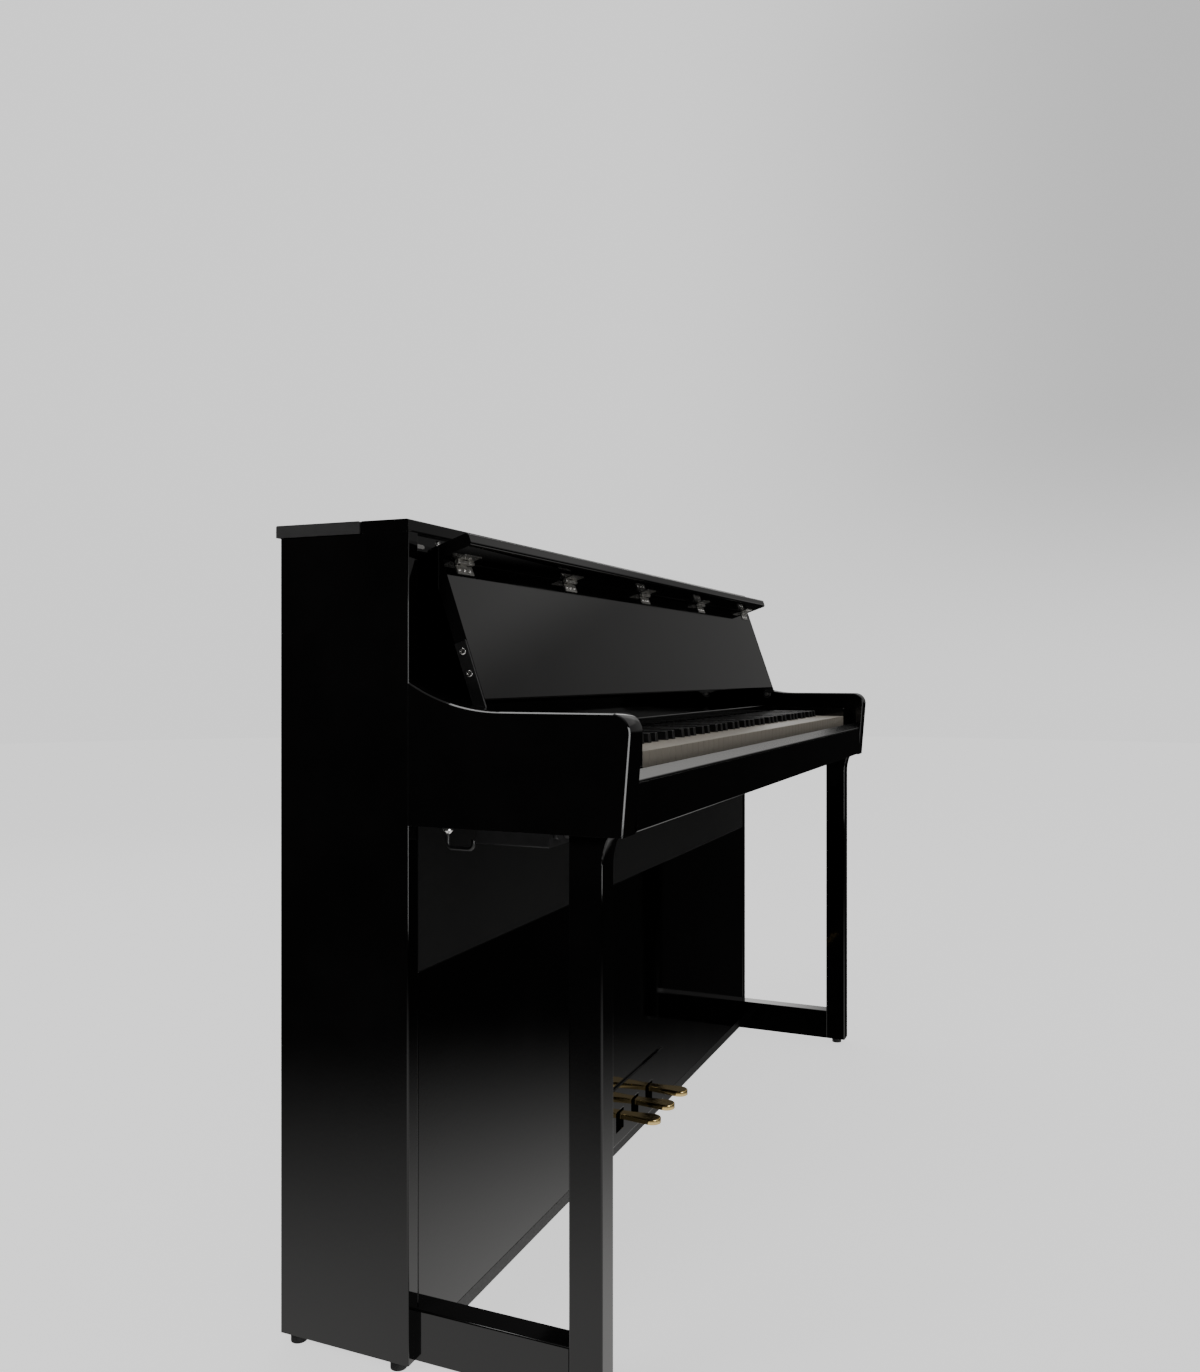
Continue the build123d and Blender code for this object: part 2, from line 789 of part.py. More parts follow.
def key_felts():
    """Front rail felt, back rail felt and the name felt over the keys."""
    half = keyboard_half
    low = front_rail_top()
    y_name = y_slip + name_rail_setback
    z_name = key_top + name_rail_drop
    with BuildPart() as felts:
        slab((-half, half), (y_key + front_rail[0], y_key + front_rail[1]), (low, low + felt_thick))
        slab((-half, half), (y_key + back_rail[0], y_key + back_rail[1]),
             (z_key - rest_gap - felt_thick, z_key - rest_gap))
        slab((-half, half), (y_name, y_name + name_rail_front), (z_name - name_felt_thick, z_name))
    return felts.part


def sensor_board():
    """Circuit strip on the key frame's slats, with one optical sensor under each key."""
    z = z_keybed_top + rail_slat_height
    width, length, height = sensor_size
    y0, y1 = (y_key + s for s in sensor_board_span)
    centres = [((tail[0] + tail[1]) / 2, (y0 + y1) / 2) for _, tail, _ in key_layout()]
    with BuildPart() as strip:
        slab((-keyboard_half, keyboard_half), (y0, y1), (z, z + board_thick))
        with BuildSketch(Plane.XY.offset(z + board_thick)):
            with Locations(centres):
                Rectangle(width, length)
        extrude(amount=height)
    return strip.part


# ================= sound, pedals and controls =================

def woofers():
    """Cone, basket and magnet of each speaker, as one closed body of revolution."""
    y0 = y_case + cloth_thick + baffle_thick
    rim = woofer_radius + woofer_rim
    outline = [(0, woofer_cone), (woofer_radius - woofer_rim, 0), (rim, 0), (rim, woofer_flange),
               (woofer_radius - woofer_flange, woofer_flange), (magnet_radius, magnet_start),
               (magnet_radius, woofer_depth), (0, woofer_depth)]
    solids = []
    for side in (-1, 1):
        axis_plane = Plane(origin=(side * woofer_spread, y0, (z_apron + z_keybed) / 2),
                           x_dir=(1, 0, 0), z_dir=(0, 0, 1))
        with BuildPart() as woofer:
            with BuildSketch(axis_plane):
                Polygon(*outline, align=None)
            revolve(axis=Axis(axis_plane.origin, (0, 1, 0)))
        solids += woofer.part.solids()
    return Compound(children=solids)


def pedal_centres():
    return {"pedal_soft": -pedal_spacing, "pedal_sostenuto": 0.0, "pedal_damper": pedal_spacing}


def pedal_box():
    """Open-backed box in the knee panel's notch, with a slot for each pedal and the pivot shaft."""
    half = pedal_box_width / 2
    y0 = y_case - pedal_box_proud
    y1 = y0 + pedal_box_depth
    z0, z1 = z_bottom_top, z_bottom_top + pedal_box_height
    wall = pedal_box_wall
    width, below, above = pedal_slot
    with BuildPart() as box:
        slab((-half, half), (y0, y1), (z0, z1))
        slab((-half + wall, half - wall), (y0 + wall, y1), (z0 + wall, z1 - wall), Mode.SUBTRACT)
        for x in pedal_centres().values():
            slab((x - width / 2, x + width / 2), (y0, y0 + wall),
                 (pedal_height - below, pedal_height + above), Mode.SUBTRACT)
    return box.part


def pedal_shaft():
    reach = pedal_box_width / 2 - pedal_box_wall
    with BuildPart() as shaft:
        with BuildSketch(profile_plane(0)):
            with Locations((y_pedal, pedal_height)):
                Circle(pedal_shaft_radius)
        extrude(amount=reach, both=True)
    return shaft.part


def pedal(x):
    with BuildPart() as lever:
        with BuildSketch(Plane.XY.offset(pedal_height - pedal_thick / 2)):
            with Locations((x, y_pedal - pedal_reach + pedal_toe_radius)):
                Circle(pedal_toe_radius)
            with Locations((x, y_pedal - pedal_reach + 4 * pedal_toe_radius)):
                Rectangle(pedal_tail_width, pedal_toe_radius)
            make_hull()
            with Locations((x, y_pedal + (pedal_heel - pedal_reach) / 2 + pedal_toe_radius)):
                Rectangle(pedal_tail_width, pedal_reach + pedal_heel - 2 * pedal_toe_radius)
        extrude(amount=pedal_thick)
        fillet(lever.edges().group_by(Axis.Z)[-1].sort_by(Axis.Y)[:3], edge_round)
        with BuildSketch(profile_plane(x - pedal_tail_width / 2)):
            with Locations((y_pedal, pedal_height)):
                Circle(pedal_hub_radius)
        extrude(amount=pedal_tail_width)
        with BuildSketch(profile_plane(x - pedal_tail_width / 2)):
            with Locations((y_pedal, pedal_height)):
                Circle(pedal_shaft_radius + running_gap)
        extrude(amount=pedal_tail_width, mode=Mode.SUBTRACT)
    return lever.part


def control_spots():
    """X offsets on the control box's face: button, knob, then the two headphone sockets."""
    width = control_size[0]
    return {"button": -0.35 * width, "knob": -0.1 * width, "jacks": (0.15 * width, 0.35 * width)}


def control_face():
    """The control box's front face, with the sketch's x along +X and its y up."""
    z = z_keybed - control_size[2] / 2
    return Plane(origin=(control_centre_x, y_slip + control_setback, z), x_dir=(1, 0, 0), z_dir=(0, -1, 0))


def control_box():
    width, depth, height = control_size
    spots = control_spots()
    y0 = y_slip + control_setback
    with BuildPart() as box:
        slab((control_centre_x - width / 2, control_centre_x + width / 2), (y0, y0 + depth),
             (z_keybed - height, z_keybed))
        fillet(box.edges().filter_by(Axis.Y).group_by(Axis.Z)[0], edge_round)
        with BuildSketch(control_face()):
            with Locations([(x, 0) for x in spots["jacks"]]):
                Circle(jack_radius)
        extrude(amount=-jack_depth, mode=Mode.SUBTRACT)
        with BuildSketch(control_face()):
            with Locations((spots["button"], 0)):
                Circle(button_radius + button_hole_gap)
        extrude(amount=-2 * sum(button_reach), mode=Mode.SUBTRACT)
        with BuildSketch(control_face()):
            with Locations((spots["knob"], 0)):
                Circle(knob_shaft_radius + running_gap)
        extrude(amount=-jack_depth, mode=Mode.SUBTRACT)
    return box.part


def power_button():
    outside, inside = button_reach
    with BuildPart() as button:
        with BuildSketch(control_face().offset(-inside)):
            with Locations((control_spots()["button"], 0)):
                Circle(button_radius)
        extrude(amount=outside + inside)
        fillet(button.edges().group_by(Axis.Y)[0], face_round)
    return button.part


def volume_knob():
    spot = control_spots()["knob"]
    with BuildPart() as knob:
        with BuildSketch(control_face().offset(rest_gap)):
            with Locations((spot, 0)):
                Circle(knob_radius)
        extrude(amount=knob_length)
        fillet(knob.edges().group_by(Axis.Y)[0], face_round)
        with BuildSketch(control_face().offset(rest_gap)):
            with Locations((spot, 0)):
                Circle(knob_shaft_radius)
        extrude(amount=-knob_shaft_reach)
    return knob.part


def headphone_hook():
    """Bent steel rod screwed under the left arm."""
    y0 = y_slip + hook_setback
    foot_radius, foot_thick = hook_plate
    z_foot, z_low = z_keybed - foot_thick, z_keybed - hook_drop
    with BuildPart() as hook:
        with BuildLine() as route:
            FilletPolyline((x_hook, y0, z_foot), (x_hook, y0, z_low), (x_hook, y0 - hook_reach, z_low),
                           (x_hook, y0 - hook_reach, z_keybed - hook_tip_drop), radius=hook_bend)
        with BuildSketch(Plane(origin=(x_hook, y0, z_foot), z_dir=(0, 0, -1))):
            Circle(hook_wire_radius)
        sweep(path=route.wires()[0])
        with BuildSketch(Plane.XY.offset(z_foot)):
            with Locations((x_hook, y0)):
                Circle(foot_radius)
        extrude(amount=foot_thick)
    return hook.part


def ac_inlet():
    """Mains inlet let into the back panel, with its three-pin recess."""
    width, depth, height = inlet_size
    recess_width, recess_height, recess_depth = inlet_recess
    pin_width, pin_height = inlet_pin
    x = half_width - inlet_from_end
    y1 = y_back - back_inset
    z = inlet_height + height / 2
    with BuildPart() as inlet:
        slab((x - width / 2, x + width / 2), (y1 - depth, y1), (inlet_height, inlet_height + height))
        with BuildSketch(Plane.XZ.offset(-y1)):
            with Locations((x, z)):
                RectangleRounded(recess_width, recess_height, inlet_recess_round)
        extrude(amount=recess_depth, mode=Mode.SUBTRACT)
        for i in (-1, 0, 1):
            pin_x = x + i * inlet_pin_spacing
            slab((pin_x - pin_width / 2, pin_x + pin_width / 2), (y1 - depth, y1 - inlet_pin_setback),
                 (z - pin_height / 2, z + pin_height / 2))
    return inlet.part


def back_panel():
    width, depth, height = inlet_size
    x = half_width - inlet_from_end
    y1 = y_back - back_inset
    with BuildPart() as back:
        slab((-side_inner, side_inner), (y1 - back_thick, y1), (z_bottom_top, z_lid))
        slab((x - width / 2, x + width / 2), (y1 - back_thick, y1),
             (inlet_height, inlet_height + height), Mode.SUBTRACT)
    return back.part


def build_all():
    os.makedirs("parts", exist_ok=True)
    for side, sign in (("left", -1), ("right", 1)):
        save(side_panel(sign), f"side_panel_{side}")
        save(pivot_bores(arm(sign), sign), f"arm_{side}")
        save(cheek_block(sign), f"cheek_block_{side}")
        save(leg(sign), f"leg_{side}")
        save(toe_rail(sign), f"toe_rail_{side}")
    save(lid_rear(), "lid_rear")
    save(lid_flap(), "lid_flap")
    save(board((-side_inner, side_inner), (y_panel, y_panel + panel_thick),
               (key_top + name_rail_shelf[0], z_lid)), "upper_front_panel")
    save(board((-side_inner, side_inner), (y_case, y_case + cloth_thick), (z_apron, z_keybed)), "apron_cloth")
    save(apron_baffle(), "apron_baffle")
    save(knee_panel(), "knee_panel")
    save(back_panel(), "back_panel")
    save(board((-side_inner, side_inner), (y_case, y_back - back_inset), (glide_height, z_bottom_top)),
         "bottom_board")
    save(keybed(), "keybed")
    save(keyslip(), "keyslip")
    save(keyslip_trim(), "keyslip_trim")
    save(name_rail(), "name_rail")
    save(glides(), "glides")
    save(lid_hinge_rear(), "lid_hinge_rear_leaves")
    save(lid_hinge_front(), "lid_hinge_flap_leaves")
    save(fallboard(), "fallboard")
    save(fallboard_lip(), "fallboard_lip")
    save(fallboard_end_plates(), "fallboard_end_plates")
    save(fallboard_plate_screws(), "fallboard_plate_screws")
    save(soft_close_dampers(), "soft_close_dampers")
    save(lip_hinge_board_leaves(), "lip_hinge_board_leaves")
    save(lip_hinge_lip_leaves(), "lip_hinge_lip_leaves")
    save(fallboard_bumpers(), "fallboard_bumpers")
    for note in NOTES:
        save(key_group(note), f"keys_{note}")
    save(key_frame(), "key_frame")
    save(key_pins(), "key_pins")
    save(key_felts(), "key_felts")
    save(sensor_board(), "sensor_board")
    save(woofers(), "woofers")
    save(pedal_box(), "pedal_box")
    save(pedal_shaft(), "pedal_shaft")
    for name, x in pedal_centres().items():
        save(pedal(x), name)
    save(control_box(), "control_box")
    save(power_button(), "power_button")
    save(volume_knob(), "volume_knob")
    save(headphone_hook(), "headphone_hook")
    save(ac_inlet(), "ac_inlet")


build_all()
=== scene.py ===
import json
import math

import bmesh
import bpy
from mathutils import Matrix, Vector


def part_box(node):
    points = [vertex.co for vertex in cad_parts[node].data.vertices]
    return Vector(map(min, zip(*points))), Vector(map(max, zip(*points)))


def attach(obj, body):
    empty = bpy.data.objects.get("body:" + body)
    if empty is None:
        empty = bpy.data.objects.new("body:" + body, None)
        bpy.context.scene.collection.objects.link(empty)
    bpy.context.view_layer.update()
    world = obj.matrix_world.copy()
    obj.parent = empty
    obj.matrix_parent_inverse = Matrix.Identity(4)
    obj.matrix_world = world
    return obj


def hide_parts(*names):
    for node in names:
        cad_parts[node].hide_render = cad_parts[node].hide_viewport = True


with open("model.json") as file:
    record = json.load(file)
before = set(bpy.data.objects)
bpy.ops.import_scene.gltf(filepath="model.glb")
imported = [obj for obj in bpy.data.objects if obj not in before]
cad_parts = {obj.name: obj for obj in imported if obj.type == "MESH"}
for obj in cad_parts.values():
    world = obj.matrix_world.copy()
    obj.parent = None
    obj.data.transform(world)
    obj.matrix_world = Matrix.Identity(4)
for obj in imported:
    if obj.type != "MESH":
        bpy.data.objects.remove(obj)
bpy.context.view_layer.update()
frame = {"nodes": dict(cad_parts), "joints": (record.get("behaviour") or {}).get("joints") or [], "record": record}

# Upright piano: camera, light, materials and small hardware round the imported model.
# Metres, +X from bass to treble, +Y away from the player, +Z up.
MM = 0.001
BASS_CAMERA = Vector((-1.8748, -0.6834, 0.821))   # level camera off the bass end, in front of the key slip
HEADING = math.radians(22.86)                     # from +X towards +Y
LENS = 30.11
HORIZON_SHIFT = -0.00886
BACKDROP_GLOW = 1.16
FLOOR_GLOW = 1.10

# The open fallboard and the hardware that the added screws sit on.
JOINTS = {j["name"]: j for j in frame["joints"]}
LEAN = math.radians(19.0)
FALL_ALONG = Vector((0, math.sin(LEAN), math.cos(LEAN)))
FALL_OUT = Vector((0, -math.cos(LEAN), math.sin(LEAN)))
PLATE_MIDDLE = 10.5 * MM                          # pivot to the middle of an end plate's width
PLATE_SCREWS = (73 * MM, 45 * MM)                 # along the end plate from the pivot
LIP_HINGES = 5
LIP_HINGE_WIDTH = 40 * MM
LEAF_TOP = 2.3 * MM                               # hinge axis to the plane of a leaf's open face
LEAF_SCREW_REACH = 9.6 * MM                       # hinge axis to the screws in a leaf
LEAF_SCREW_SPREAD = 13 * MM
LEAF_SCREW = (2.2 * MM, 0.9 * MM)                 # radius and height of a screw head
SUNK = 0.7 * MM                                   # the lip's screws are countersunk to clear the cheeks
PLATE_SCREW = (4.3 * MM, 1.2 * MM)
BACK_SCREW = (4.0 * MM, 1.4 * MM)
PANEL_SCREW = (4.0 * MM, 2.2 * MM)

# Finishes that differ from a node's slot, and the rounding of sharp edges in each material.
# The rear lid's satin black is a lighter copy of the case's: its raised tone is painted light that brightens the
# rear lid's end.
FINISH = {"lid_rear": "lid_board_painted_light", "fallboard_end_plates": "plate_dark", "headphone_hook": "screw_dark"}
EDGE_WIDTH = {"case_gloss": 1.2 * MM, "lid_board_painted_light": 1.2 * MM, "case_satin": 1.0 * MM, "key_ivory": 0.9 * MM,
              "key_ebony": 1.1 * MM, "trim_aluminium": 0.9 * MM, "steel": 0.2 * MM, "screw_chrome": 0.3 * MM,
              "pedal_brass": 2.0 * MM, "felt": 0.8 * MM, "circuit": 0.2 * MM, "grille_cloth": 0.6 * MM,
              "rubber_black": 1.2 * MM, "moulded_black": 0.5 * MM}
OTHER_EDGES = 0.6 * MM


# ================= camera, light and stage =================

def make_camera():
    data = bpy.data.cameras.new("camera")
    data.lens = LENS
    data.sensor_width = 36.0
    data.shift_y = HORIZON_SHIFT
    data.clip_start = 0.05
    data.clip_end = 100.0
    camera = bpy.data.objects.new("camera", data)
    bpy.context.scene.collection.objects.link(camera)
    camera.location = BASS_CAMERA
    ahead = Vector((math.cos(HEADING), math.sin(HEADING), 0))
    camera.rotation_euler = ahead.to_track_quat("-Z", "Y").to_euler()
    bpy.context.scene.camera = camera


def area_light(name, spot, target, size, power, glossy=True, diffuse=True):
    """A rectangular light aimed at a target; it can leave out highlights or leave out diffuse light."""
    data = bpy.data.lights.new(name, "AREA")
    data.shape = "RECTANGLE"
    data.size, data.size_y = size
    data.energy = power
    light = bpy.data.objects.new(name, data)
    bpy.context.scene.collection.objects.link(light)
    light.location = spot
    light.rotation_euler = (Vector(target) - Vector(spot)).to_track_quat("-Z", "Y").to_euler()
    light.visible_camera = False
    light.visible_diffuse = diffuse
    light.visible_glossy = glossy


def world_light():
    """A studio as the lacquer sees it: dark to the left, a soft grey wall in front on the right, a
    brighter patch past the treble end, a pale ceiling and a pale floor."""
    world = bpy.data.worlds.new("studio")
    bpy.context.scene.world = world
    world.use_nodes = True
    tree = world.node_tree
    background = tree.nodes["Background"]
    where = add(tree, "ShaderNodeTexCoord")
    axes = add(tree, "ShaderNodeSeparateXYZ")
    tree.links.new(where.outputs["Generated"], axes.inputs[0])
    x, y, z = axes.outputs["X"], axes.outputs["Y"], axes.outputs["Z"]
    right = map_range(tree, x, (-0.2, 0.6), (0.0, 1.0))
    wall = map_range(tree, z, (-0.03, 0.10), (0.0, 0.17))
    soft_box = map_range(tree, z, (0.27, 0.34), (0.0, 0.19))
    front = math_node(tree, "MULTIPLY", right, math_node(tree, "ADD", wall, soft_box))
    past = math_node(tree, "MULTIPLY", map_range(tree, y, (-0.08, 0.03), (0.0, 1.0)),
                     map_range(tree, x, (0.55, 0.85), (0.0, 1.0)))
    window = math_node(tree, "MULTIPLY", past, map_range(tree, z, (0.08, 0.20), (0.0, 0.18)))
    glint = math_node(tree, "MULTIPLY", map_range(tree, x, (0.6, 0.8), (0.0, 1.0)),
                      map_range(tree, z, (0.12, 0.2), (0.0, 1.8)))
    glint = math_node(tree, "MULTIPLY", map_range(tree, y, (0.17, 0.26), (0.0, 1.0)), glint)
    window = math_node(tree, "ADD", window, glint)
    ceiling = map_range(tree, z, (0.5, 0.9), (0.0, 0.30))
    ground = map_range(tree, z, (-0.50, -0.28), (0.9, 0.0))
    total = math_node(tree, "ADD", math_node(tree, "ADD", front, window),
                      math_node(tree, "ADD", ceiling, ground))
    tree.links.new(math_node(tree, "ADD", total, 0.008), background.inputs["Strength"])
    background.inputs["Color"].default_value = (1.0, 0.99, 0.975, 1)


def stage_mesh(name, verts, faces, tone, emission, painted_shade_toward=None):
    """A stage surface that glows evenly, or with a painted shade that darkens its glow towards a far upper corner.
    """
    mesh = bpy.data.meshes.new(name)
    mesh.from_pydata(verts, [], faces)
    obj = bpy.data.objects.new(name, mesh)
    bpy.context.scene.collection.objects.link(obj)
    mat, tree, bsdf = new_material(name)
    bsdf.inputs["Base Color"].default_value = (tone, tone, tone, 1)
    bsdf.inputs["Roughness"].default_value = 0.9
    bsdf.inputs["Specular IOR Level"].default_value = 0.0
    bsdf.inputs["Emission Color"].default_value = (1, 1, 1, 1)
    bsdf.inputs["Emission Strength"].default_value = emission
    if painted_shade_toward:
        where = add(tree, "ShaderNodeTexCoord")
        across = add(tree, "ShaderNodeVectorMath", {1: painted_shade_toward}, operation="DOT_PRODUCT")
        axes = add(tree, "ShaderNodeSeparateXYZ")
        tree.links.new(where.outputs["Object"], across.inputs[0])
        tree.links.new(where.outputs["Object"], axes.inputs[0])
        # Painted shade: the glow is cut by up to two fifths towards the far upper corner.
        sideways = map_range(tree, across.outputs["Value"], (0.0, 7.0), (0.0, 1.0))
        upwards = map_range(tree, axes.outputs["Z"], (0.5, 4.2), (0.0, 0.40))
        unshaded_share = math_node(tree, "SUBTRACT", 1.0, math_node(tree, "MULTIPLY", sideways, upwards))
        tree.links.new(math_node(tree, "MULTIPLY", unshaded_share, emission), bsdf.inputs["Emission Strength"])
    mesh.materials.append(mat)
    obj.visible_glossy = False
    return obj


def make_stage():
    """A pale floor inside a tall round room, both glowing; the floor evenly, the room with a painted shade towards
    an upper corner on the camera's right.
    """
    reach = 14.0
    corners = [(-reach, -reach, 0), (reach, -reach, 0), (reach, reach, 0), (-reach, reach, 0)]
    floor = stage_mesh("floor", corners, [(0, 1, 2, 3)], 0.35, FLOOR_GLOW)
    floor.visible_diffuse = False
    count, height, radius = 64, 9.0, 13.5
    angles = [2 * math.pi * i / count for i in range(count)]
    ring = [(radius * math.cos(angle), radius * math.sin(angle)) for angle in angles]
    verts = [(x, y, -0.01) for x, y in ring] + [(x, y, height) for x, y in ring]
    faces = [(i, (i + 1) % count, count + (i + 1) % count, count + i) for i in range(count)]
    faces.append(tuple(range(count, 2 * count)))
    right = (math.sin(HEADING), -math.cos(HEADING), 0)
    wall = stage_mesh("backdrop", verts, faces, 0.0, BACKDROP_GLOW, painted_shade_toward=right)
    wall.visible_diffuse = False
    wall.visible_shadow = False


def make_lights():
    """Soft daylight for the matt surfaces, and strips that only show as lines on the lacquer's edges."""
    area_light("ceiling_soft", (0.3, -0.4, 3.4), (0.0, 0.0, 0.4), (3.2, 2.4), 13)
    area_light("front_fill", (-0.2, -4.2, 1.7), (0.0, 0.0, 0.6), (2.4, 1.6), 5, glossy=False)
    area_light("left_fill", (-3.2, 1.3, 2.4), (-0.7, 0.1, 0.9), (1.4, 1.4), 46, glossy=False)
    area_light("rear_strip", (1.6, 3.2, 2.6), (0.0, 0.2, 0.7), (3.0, 0.8), 26)
    area_light("edge_strip", (-2.85, -4.7, 1.1), (-0.7, -0.2, 0.7), (2.0, 3.4), 110, diffuse=False)
    area_light("edge_wide", (-2.2, -5.1, 1.2), (-0.7, -0.2, 0.7), (6.5, 3.8), 80, diffuse=False)
    area_light("edge_ceiling", (-0.4, 1.5, 4.2), (-0.4, 0.0, 0.8), (3.6, 1.4), 90, diffuse=False)


# ================= node helpers =================

def new_material(name):
    mat = bpy.data.materials.new(name)
    mat.use_nodes = True
    return mat, mat.node_tree, mat.node_tree.nodes["Principled BSDF"]


def add(tree, kind, values=None, **props):
    made = tree.nodes.new(kind)
    for key, value in props.items():
        setattr(made, key, value)
    for key, value in (values or {}).items():
        made.inputs[key].default_value = value
    return made


def plug(tree, value, socket):
    if isinstance(value, (int, float)):
        socket.default_value = value
    else:
        tree.links.new(value, socket)


def math_node(tree, operation, a, b):
    made = add(tree, "ShaderNodeMath", operation=operation)
    plug(tree, a, made.inputs[0])
    plug(tree, b, made.inputs[1])
    return made.outputs[0]


def map_range(tree, value, source, target):
    made = add(tree, "ShaderNodeMapRange", {"From Min": source[0], "From Max": source[1],
                                            "To Min": target[0], "To Max": target[1]},
               interpolation_type="SMOOTHSTEP")
    tree.links.new(value, made.inputs["Value"])
    return made.outputs["Result"]


def place(tree, stretch=(1, 1, 1)):
    """Object coordinates in metres, stretched along an axis for a grain."""
    where = add(tree, "ShaderNodeTexCoord")
    mapping = add(tree, "ShaderNodeMapping", {"Scale": stretch})
    tree.links.new(where.outputs["Object"], mapping.inputs["Vector"])
    return mapping.outputs["Vector"]


def noise(tree, scale, detail=4.0, stretch=(1, 1, 1), rough=0.5):
    """Noise from 0 to 1 in object space."""
    made = add(tree, "ShaderNodeTexNoise", {"Scale": scale, "Detail": detail, "Roughness": rough})
    tree.links.new(place(tree, stretch), made.inputs["Vector"])
    return made.outputs["Fac"]


def ramp(tree, fac, low, high, start=0.35, end=0.65):
    """A colour that runs from low to high as fac goes from start to end."""
    made = add(tree, "ShaderNodeValToRGB")
    made.color_ramp.elements[0].position = start
    made.color_ramp.elements[1].position = end
    made.color_ramp.elements[0].color = (*low, 1)
    made.color_ramp.elements[1].color = (*high, 1)
    tree.links.new(fac, made.inputs["Fac"])
    return made.outputs["Color"]


def bump(tree, bsdf, height, distance, strength=1.0):
    made = add(tree, "ShaderNodeBump", {"Distance": distance, "Strength": strength})
    tree.links.new(height, made.inputs["Height"])
    tree.links.new(made.outputs["Normal"], bsdf.inputs["Normal"])


# ================= materials =================

def lacquer():
    """Black polyester lacquer: a mirror with faint orange peel, haze and hairline scratches."""
    mat, tree, bsdf = new_material("case_lacquer")
    tone = 0.0035
    haze = noise(tree, 9.0, 6.0)
    hairline = noise(tree, 60.0, 8.0, (1, 14, 14), 0.7)
    blend = math_node(tree, "ADD", math_node(tree, "MULTIPLY", haze, 0.75),
                      math_node(tree, "MULTIPLY", hairline, 0.25))
    tree.links.new(map_range(tree, blend, (0.35, 0.75), (0.035, 0.10)), bsdf.inputs["Roughness"])
    warm = (tone * 1.8, tone * 1.7, tone * 1.7)
    tree.links.new(ramp(tree, haze, (tone,) * 3, warm), bsdf.inputs["Base Color"])
    bsdf.inputs["IOR"].default_value = 1.52
    bump(tree, bsdf, noise(tree, 170.0, 2.0), 0.00006, 0.22)
    return mat


def satin_black(name, tone=0.012, rough=(0.28, 0.42)):
    """Black paint with a fine speckle."""
    mat, tree, bsdf = new_material(name)
    speck = noise(tree, 420.0, 5.0)
    tree.links.new(map_range(tree, speck, (0.3, 0.7), rough), bsdf.inputs["Roughness"])
    cloud = noise(tree, 12.0, 6.0)
    tree.links.new(ramp(tree, cloud, (tone,) * 3, (tone * 1.5,) * 3), bsdf.inputs["Base Color"])
    bump(tree, bsdf, speck, 0.00012, 0.35)
    return mat


def speaker_cloth():
    """Plain-weave black cloth, about one thread a millimetre."""
    mat, tree, bsdf = new_material("speaker_cloth")
    threads = []
    for direction in ("X", "Z"):
        look = {"Scale": 330.0, "Distortion": 0.6, "Detail": 1.0, "Detail Scale": 3.0}
        wave = add(tree, "ShaderNodeTexWave", look, wave_type="BANDS", bands_direction=direction,
                   wave_profile="SIN")
        tree.links.new(place(tree), wave.inputs["Vector"])
        threads.append(wave.outputs["Fac"])
    weave = math_node(tree, "MULTIPLY", threads[0], threads[1])
    tree.links.new(ramp(tree, weave, (0.002, 0.002, 0.002), (0.012, 0.012, 0.0125), 0.1, 0.9),
                   bsdf.inputs["Base Color"])
    bsdf.inputs["Roughness"].default_value = 0.65
    bsdf.inputs["Specular IOR Level"].default_value = 0.12
    bsdf.inputs["Sheen Weight"].default_value = 0.03
    bump(tree, bsdf, weave, 0.0003, 0.6)
    return mat


def brushed(name, color, rough, stretch=(1, 40, 40), scale=90.0):
    """Metal with a fine grain along X unless stretched otherwise."""
    mat, tree, bsdf = new_material(name)
    grain = noise(tree, scale, 8.0, stretch, 0.65)
    tree.links.new(map_range(tree, grain, (0.3, 0.7), rough), bsdf.inputs["Roughness"])
    dark = tuple(c * 0.92 for c in color)
    tree.links.new(ramp(tree, grain, dark, color), bsdf.inputs["Base Color"])
    bsdf.inputs["Metallic"].default_value = 1.0
    bump(tree, bsdf, grain, 0.00002, 0.5)
    return mat


def key_stick_mask(tree, depth):
    """1 on the acrylic cover at a key's top and front, 0 on its wooden stick."""
    low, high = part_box("keys_c")
    where = add(tree, "ShaderNodeTexCoord")
    axes = add(tree, "ShaderNodeSeparateXYZ")
    tree.links.new(where.outputs["Object"], axes.inputs[0])
    top = math_node(tree, "GREATER_THAN", axes.outputs["Z"], high.z - depth)
    front = math_node(tree, "LESS_THAN", axes.outputs["Y"], low.y + depth)
    return math_node(tree, "MAXIMUM", top, front)


def key_material(name, cover, rough, is_black):
    """Acrylic or ebony-style cover over a wooden stick, told apart by place on the key."""
    mat, tree, bsdf = new_material(name)
    grain = noise(tree, 30.0, 6.0, (12, 1, 12), 0.6)
    spruce, stained = ((0.42, 0.27, 0.14), (0.66, 0.47, 0.28)), ((0.012, 0.012, 0.012), (0.022, 0.021, 0.020))
    wood = ramp(tree, grain, *(stained if is_black else spruce))
    figure = noise(tree, 90.0, 4.0, rough=0.5)
    shade = ramp(tree, figure, tuple(c * 0.975 for c in cover), cover)
    mix = add(tree, "ShaderNodeMix", data_type="RGBA")
    tree.links.new(key_stick_mask(tree, 2.5 * MM), mix.inputs["Factor"])
    tree.links.new(wood, mix.inputs["A"])
    tree.links.new(shade, mix.inputs["B"])
    tree.links.new(mix.outputs["Result"], bsdf.inputs["Base Color"])
    tree.links.new(map_range(tree, noise(tree, 55.0, 5.0), (0.3, 0.7), rough), bsdf.inputs["Roughness"])
    bsdf.inputs["Specular IOR Level"].default_value = 0.2
    bump(tree, bsdf, figure, 0.00001, 0.2)
    return mat


